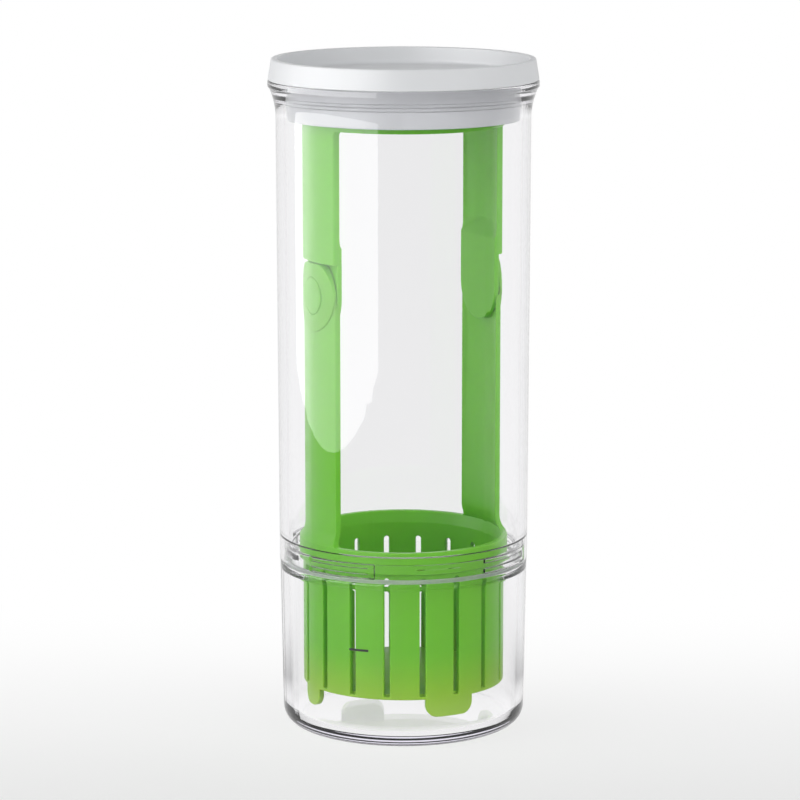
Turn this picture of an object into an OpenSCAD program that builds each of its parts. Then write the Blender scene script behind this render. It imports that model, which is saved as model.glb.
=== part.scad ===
// Herb keeper: a clear tube on a twist-off water cup, with a press-in lid that
// carries a slotted basket. Origin at the middle of the cup's underside, +Z up.
// The basket's two arms lie on the X axis. All sizes are in millimetres.

/* [Water cup] */
// Outer radius of the tube's lower band, which sets the keeper's width
band_r = 50.1; // [48:0.1:56]
// How far the cup's wall sits inside the band's outer face
cup_inset = 0.2; // [0.1:0.1:0.6]
// Height of the shoulder that the tube stands on
shoulder_h = 67.5; // [60:0.5:90]
// How much narrower the wall is at its foot than at the shoulder
cup_draft = 1.1; // [0:0.1:2]
// Thickness of the cup's wall
cup_wall = 3.2; // [2.6:0.1:4]
// Thickness of the cup's floor
cup_floor = 4.6; // [3:0.1:6]
// Rounding of the outer bottom edge
foot_round = 7; // [5:0.5:9]
// Rounding between the inner wall and the floor
floor_round = 4.5; // [3:0.5:6]
// Rounding of the shoulder's outer edge
shoulder_round = 0.8; // [0.4:0.1:1.2]
// Height of the neck above the shoulder
neck_h = 7; // [6.5:0.1:8]
// Thickness of the neck's wall
neck_wall = 1.8; // [1.4:0.1:2.4]

/* [Twist lock] */
// Depth of the inner band at the tube's lower end
band_h = 10.4; // [9.6:0.1:14]
// Thickness of the band's wall
band_wall = 1.7; // [1.4:0.1:2.2]
// How far the ribs stand in from the band's wall
rib_depth = 1.1; // [0.9:0.1:1.4]
// Thickness of each rib
rib_t = 1.7; // [1.4:0.1:2]
// Angle that each pair of ribs covers
rib_arc = 35; // [30:1:38]
// Angle of the stop wall at the end of each pair
stop_arc = 3; // [2:0.5:5]
// Angle of the first pair of ribs, counted from -Y towards +X
rib_start = -58.4; // [-90:0.1:90]
// Thickness of each lug on the neck
lug_t = 1.7; // [1.2:0.1:2]
// Angle that each lug covers
lug_arc = 22; // [14:1:26]
// Turn from open to locked
lock_turn = 45; // [40:1:48]
// Running clearance of the twist lock
lock_gap = 0.3; // [0.2:0.05:0.4]
// Height of the seal ring round the neck
neck_seal_h = 1.4; // [1:0.1:2.1]
// Clearance of the seal ring on the neck
seal_fit = 0.05; // [0.02:0.01:0.1]
// Clearance of the seal ring inside the band
seal_gap = 0.2; // [0.1:0.05:0.3]

/* [Tube] */
// Length of the clear tube
tube_h = 194; // [150:1:240]
// How much wider the tube is at its top than at the band
tube_draft = 0.7; // [0:0.1:1.5]
// Thickness of the tube's wall above the band
tube_wall = 3.6; // [2.8:0.1:4]
// How far the top flange stands out from the tube
flange_w = 3.2; // [2:0.1:4]
// Thickness of the top flange
flange_t = 3; // [2:0.1:4]
// Height of the flare under the flange
flare_h = 12; // [6:0.5:16]

/* [Lid] */
// Height of the lid above the tube
cap_h = 8.5; // [7:0.5:14]
// How far the lid's edge sits inside the tube's flange
cap_inset = 0.1; // [0:0.1:1]
// How much narrower the lid is at its top edge
cap_taper = 1.4; // [0.6:0.1:2.5]
// Width of the lid's raised rim
rim_w = 2.5; // [2:0.1:4]
// Thickness of the lid's recessed floor
cap_floor = 1.8; // [1.4:0.1:3]
// Depth of the plug inside the tube
plug_h = 15.3; // [14.5:0.1:20]
// Thickness of the plug's disc
plug_disc = 2; // [1.6:0.1:3]
// How much narrower the plug is at its foot
plug_taper = 0.6; // [0.2:0.1:1]
// Thickness of the plug's skirt
skirt_wall = 1.8; // [1.7:0.1:2.2]
// Clearance between the plug and the tube
plug_gap = 0.6; // [0.4:0.1:1]
// Depth of the seal's groove in the skirt
groove_depth = 1; // [0.7:0.1:1.1]
// Height of the lid's seal
lid_seal_h = 3.4; // [2.6:0.1:4.4]
// Distance from the plug's top to the seal
lid_seal_drop = 4.6; // [3:0.1:5]
// Clearance between the seal's lips and the tube
lip_fit = 0.2; // [0.05:0.05:0.3]
// How far the basket's ring slides up on the plug's boss
boss_grip = 4.8; // [4:0.1:6]
// Height of the thick root of the boss
boss_root = 4; // [3:0.1:6]
// Clearance of the basket's ring on the boss
boss_fit = 0.2; // [0.1:0.05:0.3]
// Thickness of the boss's wall
boss_wall = 1.8; // [1.4:0.1:2.5]

/* [Basket] */
// Gap between the basket's rim and the cup's neck
basket_gap = 3.2; // [2.8:0.1:5]
// How far the basket's rim stands out from its wall
rim_step = 1.4; // [0.8:0.1:2]
// Thickness of the basket's wall
basket_wall = 2.4; // [1.8:0.1:3]
// Height of the basket's slotted cup with its rim
basket_h = 60.1; // [45:0.5:62]
// Height of the basket's rim
rim_h = 9.4; // [6:0.2:12]
// How much the rim opens on its inside
rim_flare = 1.2; // [0:0.1:2]
// Thickness of the basket's floor
basket_floor = 2; // [1.6:0.1:3]
// Number of slots round the basket
slot_n = 18; // [12:1:22]
// Width of each slot
slot_w = 2.4; // [1.5:0.1:3]
// Angle of the first slot, counted from -Y towards +X
slot_start = 3.7; // [0:0.1:20]
// Solid strip between the slots and the rim
slot_margin = 1.1; // [0.8:0.1:3]
// Solid strip under the slots
slot_sill = 1.2; // [0.8:0.1:3]
// Height of the four feet
foot_h = 7.4; // [6:0.1:10]
// Width of the feet between the arms
foot_w = 20.5; // [12:0.5:24]
// Width of the feet under the arms
side_foot_w = 11.5; // [11:0.5:20]
// Rounding of each foot's corners
foot_corner = 5; // [2:0.5:5.5]
// Gap between the feet and the cup's floor
feet_gap = 6.4; // [6.2:0.1:10]

/* [Arms and pivots] */
// Width of each arm
arm_w = 28.8; // [20:0.2:32]
// Thickness of the hoop's ring and arms
arm_t = 2.6; // [2:0.1:3.2]
// Thickness of the lower arms
lower_arm_t = 2.2; // [1.8:0.1:3]
// How far the hoop's arms sit inside the basket's wall
hoop_inset = 0.4; // [0.2:0.1:1]
// How far the lower arms sit inside the hoop's arms
arm_inset = 0.6; // [0.2:0.1:1]
// Height of the hoop's top ring
ring_h = 11.6; // [9:0.2:14]
// Distance from the top of the hoop's ring to the pivots
hoop_h = 77.8; // [60:0.2:90]
// Rounding where the hoop's arms meet its ring
hoop_fillet = 2; // [1:0.5:5]
// Rounding where the lower arms meet the basket's rim
root_fillet = 3; // [1:0.5:6]
// Height over which the lower arms flare out to the rim
root_flare = 6; // [3:0.5:10]
// Radius of the round pivot boss
pivot_r = 7.4; // [5:0.1:9]
// Clearance of the pivot boss in its eye
pivot_fit = 0.1; // [0.05:0.05:0.2]
// Thickness of the hoop's flat ear behind each eye
ear_t = 2.1; // [1.6:0.1:3]
// Depth of each eye behind the arm's outer face
eye_depth = 3.9; // [3.4:0.1:4.5]
// How much of each eye's round top is cut off flat
eye_trim = 1.4; // [0.6:0.1:3]
// Gap between the straight end of the hoop's arms and the eyes' flat tops
arm_gap = 0.4; // [0.3:0.1:1]
// How far each boss's flat face lies inside the arm's outer face
boss_sink = 0.2; // [0:0.1:1]
// Height of each ear's root above the end of the hoop's arm
ear_root = 6.5; // [3:0.5:10]
// Gap between sliding faces at the pivots
pivot_gap = 0.3; // [0.2:0.05:0.5]

/* [Hidden] */
$fn = 96;

clear_plastic = [0.86, 0.90, 0.93, 0.35];
white_plastic = [0.93, 0.93, 0.92];
grey_silicone = [0.80, 0.82, 0.82];
green_plastic = [0.36, 0.72, 0.16];
deep_green_plastic = [0.30, 0.66, 0.12];

quarter = 90;
lug_n = 4;
small_round = 0.5;
overlap = 0.4;
through = 1;
arc_steps = 6;

// Twist lock radii, from the band inwards
band_in = band_r - band_wall;
rib_in = band_in - rib_depth;
neck_r = rib_in - lock_gap;
neck_in = neck_r - neck_wall;
lug_r = band_in - lock_gap;
cup_r = band_r - cup_inset;
cup_foot_r = cup_r - cup_draft;

// Twist lock heights, from the shoulder up
neck_top = shoulder_h + neck_h;
low_rib_z = shoulder_h + neck_seal_h + lock_gap;
lug_z = low_rib_z + rib_t + lock_gap;
high_rib_z = lug_z + lug_t + lock_gap;
ledge_z = shoulder_h + band_h;
neck_slope = 2;
neck_step = 1.5;

// Tube
tube_top = shoulder_h + tube_h;
tube_top_r = band_r + tube_draft;
bore_low = band_r - tube_wall;
bore_top = tube_top_r - tube_wall;
flange_r = tube_top_r + flange_w;
flange_z = tube_top - flange_t;
mouth_chamfer = 0.8;

// Lid
lid_top = tube_top + cap_h;
cap_r = flange_r - cap_inset;
cap_top_r = cap_r - cap_taper;
rim_in = cap_top_r - rim_w;
recess_draft = 0.8;
recess_round = 1.5;
rim_round = 0.8;
plug_r = bore_top - plug_gap;
plug_foot_r = plug_r - plug_taper;
plug_z = tube_top - plug_h;
skirt_in = plug_foot_r - skirt_wall;
disc_z = tube_top - plug_disc;
groove_top = tube_top - lid_seal_drop;
groove_z = groove_top - lid_seal_h;
groove_r = plug_at(groove_z) - groove_depth;
lip_r = bore_at(groove_z) - lip_fit;

// Basket
rim_r = neck_in - basket_gap;
wall_r = rim_r - rim_step;
wall_in = wall_r - basket_wall;
foot_z = cup_floor + feet_gap;
basket_z = foot_z + foot_h;
rim_top = basket_z + basket_h;
rim_z = rim_top - rim_h;
rim_slope = 0.8;
rim_in_r = wall_in + rim_flare;
slot_low = basket_z + slot_sill;
slot_high = rim_z - slot_margin;

// Arms and pivots
hoop_r = wall_r - hoop_inset;
hoop_in = hoop_r - arm_t;
arm_r = hoop_r - arm_inset;
arm_in = arm_r - lower_arm_t;
ring_top = disc_z - boss_root;
ring_z = ring_top - ring_h;
pivot_z = ring_top - hoop_h;
eye_face = hoop_r - eye_depth;
ear_out = eye_face - pivot_gap;
ear_in = ear_out - ear_t;
eye_r = arm_w / 2;
ear_r = eye_r;
eye_top = eye_r - eye_trim;
arm_end = eye_top + arm_gap;
ear_rise = arm_end + ear_root;
boss_face = hoop_r - boss_sink;
ear_slope = 7;
boss_r = hoop_in - boss_fit;
boss_in = boss_r - boss_wall;
boss_root_r = hoop_r - small_round;
boss_z = ring_top - boss_grip;

// Outer radius of the lid's plug at height z
function plug_at(z) = plug_foot_r + plug_taper * (z - plug_z) / plug_h;

// Radius of the tube's bore at height z
function bore_at(z) = bore_low + tube_draft * (z - ledge_z) / (tube_top - ledge_z);

// Points of an arc about (x, y), from one angle to another
function arc(x, y, r, from, to, steps = arc_steps) =
    [for (i = [0:steps])
        let (a = from + (to - from) * i / steps)
        [x + r * cos(a), y + r * sin(a)]];

// Points of the flare that sweeps from the tube's wall out to the flange
function flare(steps = 10) =
    [for (i = [0:steps])
        [tube_top_r + (flange_w - small_round) * pow(i / steps, 2),
         flange_z - flare_h * (1 - i / steps)]];

// Turns what it holds to an angle counted from -Y towards +X
module facing(angle) {
    rotate([0, 0, angle - quarter])
        children();
}

// A ring segment centred on the local X axis
module ring_segment(r_in, r_out, z, h, span) {
    rotate([0, 0, -span / 2])
        rotate_extrude(angle = span)
            translate([r_in, z])
                square([r_out - r_in, h]);
}

// Extrudes an outline drawn in (y, z) along the X axis, between two x values
module along_x(x_from, x_to) {
    translate([x_from, 0, 0])
        rotate([quarter, 0, quarter])
            linear_extrude(height = x_to - x_from)
                children();
}

// Puts a copy of what it holds on the +X side and on the -X side
module both_sides() {
    for (turn = [0, 2 * quarter])
        rotate([0, 0, turn])
            children();
}

// Outline fillets in the two corners beside a strip that stands on a line
module strip_fillets(half_w, line_y, r, up) {
    for (side = [-1, 1])
        difference() {
            translate([side > 0 ? half_w : -half_w - r, up > 0 ? line_y : line_y - r])
                square([r, r]);
            translate([side * (half_w + r), line_y + up * r])
                circle(r = r);
        }
}

module water_cup() {
    color(clear_plastic)
        union() {
            rotate_extrude()
                polygon(concat(
                    [[0, 0]],
                    arc(cup_foot_r - foot_round, foot_round, foot_round, -quarter, 0, 10),
                    arc(cup_r - shoulder_round, shoulder_h - shoulder_round, shoulder_round,
                        0, quarter),
                    [[neck_r, shoulder_h]],
                    arc(neck_r - small_round, neck_top - small_round, small_round, 0, quarter),
                    arc(neck_in + small_round, neck_top - small_round, small_round,
                        quarter, 2 * quarter),
                    [[neck_in, shoulder_h - neck_step],
                     [cup_r - cup_wall, shoulder_h - neck_step - neck_slope]],
                    arc(cup_foot_r - cup_wall - floor_round, cup_floor + floor_round,
                        floor_round, 0, -quarter, 8),
                    [[0, cup_floor]]));
            neck_lugs();
        }
}

// Four lugs on the neck, which lie between the pairs of ribs when unlocked
module neck_lugs() {
    locked = rib_start + rib_arc / 2 - stop_arc - lug_arc / 2 - lock_gap;
    for (i = [0:lug_n - 1])
        facing(locked - lock_turn + i * 360 / lug_n)
            ring_segment(neck_r - overlap, lug_r, lug_z, lug_t, lug_arc);
}

module neck_seal() {
    color(grey_silicone)
        rotate_extrude()
            polygon(concat(
                [[neck_r + seal_fit, shoulder_h],
                 [band_in - seal_gap, shoulder_h]],
                arc(band_in - seal_gap - small_round, shoulder_h + neck_seal_h - small_round,
                    small_round, 0, quarter),
                [[neck_r + seal_fit, shoulder_h + neck_seal_h]]));
}

module clear_tube() {
    color(clear_plastic)
        union() {
            rotate_extrude()
                polygon(concat(
                    [[band_in, shoulder_h]],
                    arc(band_r - small_round, shoulder_h + small_round, small_round,
                        -quarter, 0),
                    flare(),
                    arc(flange_r - small_round, flange_z + small_round, small_round,
                        -quarter, 0),
                    arc(flange_r - small_round, tube_top - small_round, small_round,
                        0, quarter),
                    [[bore_top + mouth_chamfer, tube_top],
                     [bore_at(tube_top - mouth_chamfer), tube_top - mouth_chamfer],
                     [bore_low, ledge_z],
                     [band_in, ledge_z]]));
            lock_ribs();
        }
}

// Four pairs of ribs inside the band, each closed by a stop wall at one end
module lock_ribs() {
    for (i = [0:lug_n - 1])
        facing(rib_start + i * 360 / lug_n)
            difference() {
                ring_segment(rib_in, band_in + overlap, low_rib_z,
                             high_rib_z + rib_t - low_rib_z, rib_arc);
                rotate([0, 0, -stop_arc])
                    ring_segment(rib_in - through, band_in + through, low_rib_z + rib_t,
                                 high_rib_z - low_rib_z - rib_t, rib_arc);
            }
}

module lid_cap() {
    floor_z = tube_top + cap_floor;
    color(white_plastic)
        rotate_extrude()
            polygon(concat(
                [[0, tube_top]],
                arc(cap_r - small_round, tube_top + small_round, small_round, -quarter, 0),
                arc(cap_top_r - rim_round, lid_top - rim_round, rim_round, 0, quarter),
                arc(rim_in + rim_round, lid_top - rim_round, rim_round, quarter, 2 * quarter),
                arc(rim_in - recess_draft - recess_round, floor_z + recess_round,
                    recess_round, 0, -quarter),
                [[0, floor_z]]));
}

module lid_plug() {
    color(white_plastic)
        rotate_extrude()
            polygon(concat(
                [[0, disc_z],
                 [boss_in, disc_z],
                 [boss_in, boss_z],
                 [boss_r - small_round, boss_z],
                 [boss_r, boss_z + small_round],
                 [boss_r, ring_top],
                 [boss_root_r, ring_top],
                 [boss_root_r, disc_z],
                 [skirt_in, disc_z],
                 [skirt_in, plug_z]],
                arc(plug_foot_r - small_round, plug_z + small_round, small_round, -quarter, 0),
                [[plug_at(groove_z), groove_z],
                 [groove_r, groove_z],
                 [groove_r, groove_top],
                 [plug_at(groove_top), groove_top],
                 [plug_r, tube_top - small_round],
                 [plug_r, tube_top],
                 [0, tube_top]]));
}

// Silicone ring with two rounded lips that close on the tube
module lid_seal() {
    lip_h = lid_seal_h / 2;
    lip_round = lip_h / 2;
    color(grey_silicone)
        rotate_extrude()
            polygon(concat(
                [[groove_r, groove_z]],
                arc(lip_r - lip_round, groove_z + lip_round, lip_round, -quarter, quarter, 8),
                arc(lip_r - lip_round, groove_z + lip_h + lip_round, lip_round,
                    -quarter, quarter, 8),
                [[groove_r, groove_top]]));
}

// The hoop: a top ring and two arms that end in ears, which carry the bosses
module basket_hoop() {
    color(green_plastic)
        union() {
            hoop_shell();
            both_sides()
                hoop_ear();
        }
}

module hoop_shell() {
    intersection() {
        rotate_extrude()
            translate([hoop_in, pivot_z])
                square([hoop_r - hoop_in, ring_top - pivot_z]);
        along_x(-hoop_r - through, hoop_r + through)
            union() {
                translate([-arm_w / 2, pivot_z + arm_end])
                    square([arm_w, ring_z - pivot_z]);
                translate([-hoop_r - through, ring_z])
                    square([2 * (hoop_r + through), ring_h + through]);
                strip_fillets(arm_w / 2, ring_z, hoop_fillet, -1);
            }
    }
}

// The flat ear behind the eye, its sloped root and its round boss
module hoop_ear() {
    along_x(ear_in, ear_out)
        union() {
            translate([0, pivot_z])
                circle(r = ear_r);
            translate([-arm_w / 2, pivot_z])
                square([arm_w, ear_rise]);
        }
    intersection() {
        translate([0, arm_w / 2, 0])
            rotate([quarter, 0, 0])
                linear_extrude(height = arm_w)
                    polygon([[ear_in, pivot_z + arm_end],
                             [ear_in, pivot_z + ear_rise],
                             [hoop_in + overlap, pivot_z + ear_rise + ear_slope],
                             [hoop_r, pivot_z + ear_rise + ear_slope],
                             [hoop_r, pivot_z + arm_end]]);
        cylinder(r = hoop_in + overlap, h = ring_top);
    }
    translate([ear_in, 0, pivot_z])
        rotate([0, quarter, 0])
            cylinder(r = pivot_r, h = boss_face - ear_in);
}

// The slotted cup with its rim, four feet and the two lower arms with eyes
module basket_cup() {
    color(deep_green_plastic)
        difference() {
            union() {
                cup_body();
                both_sides() {
                    cup_foot(side_foot_w);
                    facing(2 * quarter)
                        cup_foot(foot_w);
                }
                lower_arms();
                both_sides()
                    eye_disc();
            }
            slots();
            both_sides()
                pivot_cuts();
        }
}

module cup_body() {
    rotate_extrude()
        polygon(concat(
            [[0, basket_z],
             [wall_r - small_round, basket_z],
             [wall_r, basket_z + small_round],
             [wall_r, rim_z],
             [rim_r, rim_z + rim_slope]],
            arc(rim_r - small_round, rim_top - small_round, small_round, 0, quarter),
            [[rim_in_r, rim_top],
             [wall_in, rim_top - rim_h / 2],
             [wall_in, basket_z + basket_floor],
             [0, basket_z + basket_floor]]));
}

// One foot: a curved tab with round lower corners, on the local X axis
module cup_foot(width) {
    intersection() {
        rotate_extrude()
            translate([wall_in, foot_z])
                square([basket_wall, foot_h + basket_floor]);
        along_x(0, wall_r + through)
            union() {
                translate([-width / 2, foot_z + foot_corner])
                    square([width, foot_h + basket_floor - foot_corner]);
                translate([foot_corner - width / 2, foot_z])
                    square([width - 2 * foot_corner, foot_corner + overlap]);
                for (side = [-1, 1])
                    translate([side * (width / 2 - foot_corner), foot_z + foot_corner])
                        circle(r = foot_corner);
            }
    }
}

module lower_arms() {
    arm_z = rim_top - rim_h;
    intersection() {
        rotate_extrude()
            polygon(concat(
                [[arm_in, arm_z + rim_h / 2],
                 [wall_in + overlap, arm_z],
                 [rim_r - small_round, arm_z + rim_slope],
                 [rim_r - small_round, rim_top]],
                [for (i = [0:arc_steps])
                    let (a = quarter * i / arc_steps)
                    [arm_r + (rim_r - small_round - arm_r) * (1 - sin(a)),
                     rim_top + root_flare * (1 - cos(a))]],
                [[arm_r, pivot_z],
                 [arm_in, pivot_z]]));
        along_x(-rim_r - through, rim_r + through)
            union() {
                translate([-arm_w / 2, arm_z])
                    square([arm_w, pivot_z - arm_z]);
                strip_fillets(arm_w / 2, rim_top, root_fillet, 1);
            }
    }
}

// The round eye that the hoop's boss turns in, with a flat top and a flat back
module eye_disc() {
    intersection() {
        cylinder(r = hoop_r, h = ring_top);
        along_x(eye_face, hoop_r + through)
            intersection() {
                translate([0, pivot_z])
                    circle(r = eye_r);
                translate([-eye_r, pivot_z - eye_r])
                    square([2 * eye_r, eye_r + eye_top]);
            }
    }
}

module slots() {
    for (i = [0:slot_n - 1])
        facing(slot_start + i * 360 / slot_n) {
            translate([wall_in - through, -slot_w / 2, slot_low])
                cube([basket_wall + 2 * through, slot_w, slot_high - slot_w / 2 - slot_low]);
            translate([wall_in - through, 0, slot_high - slot_w / 2])
                rotate([0, quarter, 0])
                    cylinder(r = slot_w / 2, h = basket_wall + 2 * through);
        }
}

// Bore of the eye, and the room that the hoop's flat ear turns in
module pivot_cuts() {
    translate([0, 0, pivot_z])
        rotate([0, quarter, 0]) {
            cylinder(r = pivot_r + pivot_fit, h = hoop_r + through);
            cylinder(r = ear_r + pivot_gap, h = eye_face);
        }
}

water_cup();
neck_seal();
clear_tube();
lid_cap();
lid_plug();
lid_seal();
basket_hoop();
basket_cup();
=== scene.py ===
"""Herb keeper: the visual model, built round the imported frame, with its studio."""

import logging
import math
from collections.abc import Callable, Iterable, Sequence
from dataclasses import dataclass, field, replace
from enum import Enum

import bmesh
import bpy
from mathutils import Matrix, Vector


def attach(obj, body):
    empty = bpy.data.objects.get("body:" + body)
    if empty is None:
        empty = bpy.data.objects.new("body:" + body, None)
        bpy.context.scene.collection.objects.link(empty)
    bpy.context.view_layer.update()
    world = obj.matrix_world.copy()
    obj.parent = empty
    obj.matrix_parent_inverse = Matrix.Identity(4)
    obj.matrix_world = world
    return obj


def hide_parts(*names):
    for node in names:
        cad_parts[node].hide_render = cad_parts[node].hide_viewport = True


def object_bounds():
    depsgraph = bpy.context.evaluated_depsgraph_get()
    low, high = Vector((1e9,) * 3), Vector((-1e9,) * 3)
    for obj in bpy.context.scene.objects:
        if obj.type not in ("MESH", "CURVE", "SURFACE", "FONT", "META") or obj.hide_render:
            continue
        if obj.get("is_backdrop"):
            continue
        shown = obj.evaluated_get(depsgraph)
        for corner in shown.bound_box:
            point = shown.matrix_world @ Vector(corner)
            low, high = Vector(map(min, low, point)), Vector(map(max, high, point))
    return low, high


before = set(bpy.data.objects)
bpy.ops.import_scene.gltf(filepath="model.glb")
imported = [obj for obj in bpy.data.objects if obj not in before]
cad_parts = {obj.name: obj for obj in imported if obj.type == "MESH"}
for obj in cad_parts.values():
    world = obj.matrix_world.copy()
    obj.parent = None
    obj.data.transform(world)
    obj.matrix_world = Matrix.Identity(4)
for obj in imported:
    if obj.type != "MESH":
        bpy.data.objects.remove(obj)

log = logging.getLogger("herb_keeper")

Point = tuple[float, float]
Span = tuple[float, float]
Outline = list[Point]
Spot = tuple[float, float, float]
Wrap = Callable[[float, float, float], Spot]
Colour = tuple[float, float, float]
Socket = bpy.types.NodeSocket
Mesh = bmesh.types.BMesh
Piece = bpy.types.Object
Shaders = dict[str, Socket]

MM = 0.001  # metres in a millimetre
COLUMNS = 192  # columns of points round a turned body
SLIP = 0.02  # gap between faces that would lie in one plane, in millimetres
SUPPORT = 0.12  # distance of a support point from its rounding, in millimetres
MOST_CUT = 0.49  # share of a side that one rounding may take
CHORD = math.radians(12)  # turn of one chord of a rounding
WELD = 0.01  # distance under which the points of a seam are welded, in millimetres
SAME = 1e-4  # distance under which two points of a plate are one, in millimetres
EVEN_WEIGHT = 50  # how far a piece's large faces set its shading; this is midway
WHOLE = (0.0, 1.0)  # the whole range of a share
NOISE_SPAN = (0.3, 0.7)  # where most of a noise's values lie
BACKDROP_SIDE = (0.454, 0.891, 0.0)  # direction from the keeper to the backdrop


# ---------------------------------------------------------------- outlines


@dataclass(frozen=True)
class Corner:
    """A corner of an outline, in millimetres, with the radius of its rounding."""

    x: float
    y: float
    round: float = 0.0


def _unit(a: Point, b: Point) -> tuple[float, float, float]:
    """Direction and length of the step from one point to another.

    Args:
        a: The first point.
        b: The second point.

    Returns:
        The unit step along both axes, then its length.
    """
    dx, dy = b[0] - a[0], b[1] - a[1]
    length = math.hypot(dx, dy)
    return dx / length, dy / length, length


def rounded(*corners: Corner, closed: bool = True) -> Outline:
    """Rounds an outline's corners, and puts a support point beside each rounding.

    Args:
        *corners: The outline's corners in order.
        closed: Whether the last corner joins the first.

    Returns:
        The points of the rounded outline.
    """
    points: Outline = []
    count = len(corners)
    for i, corner in enumerate(corners):
        here = (corner.x, corner.y)
        at_end = not closed and i in (0, count - 1)
        if corner.round <= 0 or at_end:
            points.append(here)
            continue
        before, after = corners[i - 1], corners[(i + 1) % count]
        ux, uy, back = _unit(here, (before.x, before.y))
        vx, vy, ahead = _unit(here, (after.x, after.y))
        half = math.acos(max(-1.0, min(1.0, ux * vx + uy * vy))) / 2
        cut = min(corner.round / math.tan(half), MOST_CUT * back, MOST_CUT * ahead)
        radius = cut * math.tan(half)
        bx, by, _ = _unit((0, 0), (ux + vx, uy + vy))
        reach = radius / math.sin(half)
        centre = (here[0] + bx * reach, here[1] + by * reach)
        start = (here[0] + ux * cut, here[1] + uy * cut)
        end = (here[0] + vx * cut, here[1] + vy * cut)
        first = math.atan2(start[1] - centre[1], start[0] - centre[0])
        sweep = math.atan2(end[1] - centre[1], end[0] - centre[0]) - first
        sweep = (sweep + math.pi) % (2 * math.pi) - math.pi
        steps = max(3, round(abs(sweep) / CHORD))
        if back - cut > 3 * SUPPORT:
            points.append((start[0] + ux * SUPPORT, start[1] + uy * SUPPORT))
        for k in range(steps + 1):
            a = first + sweep * k / steps
            points.append((centre[0] + radius * math.cos(a), centre[1] + radius * math.sin(a)))
        if ahead - cut > 3 * SUPPORT:
            points.append((end[0] + vx * SUPPORT, end[1] + vy * SUPPORT))
    return points


def arc_points(x: float, y: float, r: float, start: float, end: float, steps: int) -> Outline:
    """Points of an arc.

    Args:
        x: Centre along the first axis.
        y: Centre along the second axis.
        r: Radius.
        start: First angle, in degrees.
        end: Last angle, in degrees.
        steps: Number of chords.

    Returns:
        The points, first to last.
    """
    angles = (math.radians(start + (end - start) * i / steps) for i in range(steps + 1))
    return [(x + r * math.cos(a), y + r * math.sin(a)) for a in angles]


def circle(y: float, r: float, count: int = 144) -> Outline:
    """Points of a full circle whose centre lies that far along the second axis."""
    return arc_points(0, y, r, 0, 360 - 360 / count, count - 1)


# ---------------------------------------------------------------- meshes


class Place(Enum):
    """The moving bodies that pieces ride on."""

    CUP = "cup"
    NECK_RING = "neck_ring"
    TUBE = "tube"
    LID = "lid"
    HOOP = "hoop"
    BASKET = "basket"


def put(name: str, data: bpy.types.ID) -> bpy.types.Object:
    """Puts a new object into the scene.

    Args:
        name: The object's name.
        data: Its mesh, curve, lamp or camera.

    Returns:
        The object.
    """
    made = bpy.data.objects.new(name, data)
    bpy.context.scene.collection.objects.link(made)
    return made


def mesh_object(bm: Mesh, name: str) -> bpy.types.Object:
    """Turns a mesh in metres into an object.

    Args:
        bm: The mesh, which is freed.
        name: The object's name.

    Returns:
        The object.
    """
    mesh = bpy.data.meshes.new(name)
    bm.to_mesh(mesh)
    bm.free()
    return put(name, mesh)


@dataclass(frozen=True)
class Row:
    """One ring of a turned body: its height, and its radius on each kind of column."""

    z: float
    plain: float
    rib: float
    stop: float


class Column(Enum):
    """Which of a row's radii a column takes."""

    PLAIN = "plain"
    RIB = "rib"
    STOP = "stop"


def rows(points: Iterable[Point]) -> list[Row]:
    """Rows that are round all the way, from the radius and height of each."""
    return [Row(z, r, r, r) for r, z in points]


@dataclass
class Turning:
    """A body turned about the upright axis, which may carry ribs on some of its arcs.

    The edge is how many degrees the end of a rib takes, and the gap is the share of the
    columns' pitch that stays free beside it.
    """

    body_rows: list[Row]
    ribs: list[Span] = field(default_factory=list)
    stops: list[Span] = field(default_factory=list)
    closed: bool = True
    edge: float = 0.2
    gap: float = 0.4

    def _kind(self, angle: float) -> Column:
        """Finds which radii a column takes.

        Args:
            angle: The column's angle, in degrees.

        Returns:
            The column's kind.
        """
        for kind, arcs in ((Column.STOP, self.stops), (Column.RIB, self.ribs)):
            for start, end in arcs:
                if (angle - start) % 360 <= (end - start) % 360:
                    return kind
        return Column.PLAIN

    def _angles(self) -> list[float]:
        """Spaces the columns, with a close pair at each end of an arc.

        Returns:
            Angles in degrees from -Y towards +X, in rising order.
        """
        pairs: list[float] = []
        for start, end in self.ribs + self.stops:
            for a in (start, end):
                pairs += [(a - self.edge / 2) % 360, (a + self.edge / 2) % 360]
        pitch = 360 / COLUMNS
        even = [i * pitch for i in range(COLUMNS)]
        gap = self.gap * pitch
        kept = [a for a in even if all(abs((a - p + 180) % 360 - 180) > gap for p in pairs)]
        return sorted(set(kept + pairs))

    def _ring(self, bm: Mesh, row: Row, angles: list[float]) -> list[bmesh.types.BMVert]:
        """Adds the points of one row.

        Args:
            bm: The mesh to add to.
            row: The row.
            angles: Angles of the columns, in degrees.

        Returns:
            The points, or the only one where the row lies on the axis.
        """
        if row.plain < SAME:
            return [bm.verts.new((0, 0, row.z))]
        ring = []
        for angle in angles:
            r, t = getattr(row, self._kind(angle).value), math.radians(angle)
            ring.append(bm.verts.new((r * math.sin(t), -r * math.cos(t), row.z)))
        return ring

    def mesh(self) -> Mesh:
        """Builds the body.

        Returns:
            The mesh, in millimetres.
        """
        bm = bmesh.new()
        angles = self._angles()
        rings = [self._ring(bm, row, angles) for row in self.body_rows]
        if self.closed:
            rings.append(rings[0])
        for low, high in zip(rings, rings[1:]):
            for i in range(len(angles)):
                j = (i + 1) % len(angles)
                square = (low[i % len(low)], low[j % len(low)],
                          high[j % len(high)], high[i % len(high)])
                bm.faces.new(tuple(dict.fromkeys(square)))
        return bm


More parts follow.
